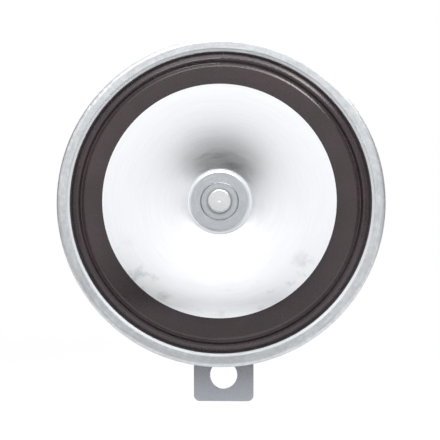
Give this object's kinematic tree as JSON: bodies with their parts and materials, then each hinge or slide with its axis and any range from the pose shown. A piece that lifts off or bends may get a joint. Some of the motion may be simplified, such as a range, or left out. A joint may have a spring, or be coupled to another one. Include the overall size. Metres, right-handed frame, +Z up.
{
  "type": "car horn",
  "caption": "Electric disc horn: a dished sounding disc over a black diaphragm in a rolled rim, a drawn steel housing with blade terminals, and a flat strap bracket.",
  "frame": {"origin": "centre of the strap's bolt hole, on the strap's rear face", "axes": "+Y along the bolt hole towards the rear of the horn, +Z up along the strap from the bolt hole to the horn's axis, +X right as seen from the front"},
  "size_m": [0.1, 0.0493, 0.1147],
  "materials": {
    "housing_steel": "satin zinc-plated drawn steel",
    "rim_steel": "streaky zinc-plated rolled steel",
    "black_rubber": "dull black rubber",
    "black_enamel": "semi-gloss brownish black stove enamel on steel",
    "disc_aluminium": "satin spun aluminium",
    "zinc_steel": "bright zinc plate on turned steel",
    "strap_steel": "bright bluish zinc plate on flat steel",
    "screw_steel": "dark phosphated steel",
    "black_steel": "black lacquered steel",
    "white_nylon": "natural white nylon",
    "copper_plate": "satin copper plate on brass",
    "copper_rivet": "bright copper plate on brass",
    "spring_bronze": "rolled phosphor bronze",
    "contact_metal": "polished contact metal",
    "enamelled_copper": "enamelled copper wire, wound",
    "bobbin_plastic": "black glass-filled nylon",
    "phenolic": "brown phenolic sheet",
    "lead_sleeve": "red insulating sleeve",
    "resistor_ceramic": "glazed ceramic"
  },
  "bodies": {
    "horn": {"rear_housing": "housing_steel", "rim_ring": "rim_steel", "rim_seal": "black_rubber", "diaphragm": "black_enamel", "pole_core": "zinc_steel", "coil_bobbin": "bobbin_plastic", "coil_winding": "enamelled_copper", "contact_bracket": "zinc_steel", "rear_contact_insulator": "phenolic", "middle_contact_insulator": "phenolic", "front_contact_insulator": "phenolic", "moving_contact_arm": "spring_bronze", "fixed_contact_arm": "spring_bronze", "moving_contact_tip": "contact_metal", "fixed_contact_tip": "contact_metal", "contact_rivets": "spring_bronze", "screw_bush": "black_steel", "terminal_insulator": "white_nylon", "upper_terminal": "copper_plate", "lower_terminal": "copper_plate", "terminal_rivets": "copper_rivet", "inner_insulator": "phenolic", "supply_lead": "lead_sleeve", "breaker_lead": "lead_sleeve", "earth_lead": "lead_sleeve", "suppression_resistor": "resistor_ceramic", "mounting_bracket": "strap_steel", "bracket_spacer": "zinc_steel", "spring_washer": "zinc_steel", "mounting_nut": "zinc_steel"},
    "diaphragm_group": {"armature": "zinc_steel", "rear_washer": "zinc_steel", "middle_washer": "zinc_steel", "tone_disc": "disc_aluminium", "front_washer": "zinc_steel"},
    "adjuster": {"adjusting_screw": "screw_steel"}
  },
  "joints": [
    {"name": "diaphragm_stroke", "type": "slide", "parent": "horn", "child": "diaphragm_group", "axis": [0, 1, 0], "range_m": [-0.0004, 0.0004], "stiffness_N_per_m": 50000, "deforming": ["diaphragm", "moving_contact_arm"]},
    {"name": "adjusting_screw_turn", "type": "hinge", "parent": "horn", "child": "adjuster", "pos_m": [0.02151, -0.0084, 0.0696], "axis": [0, 1, 0], "range_deg": [-360, 360]}
  ]
}
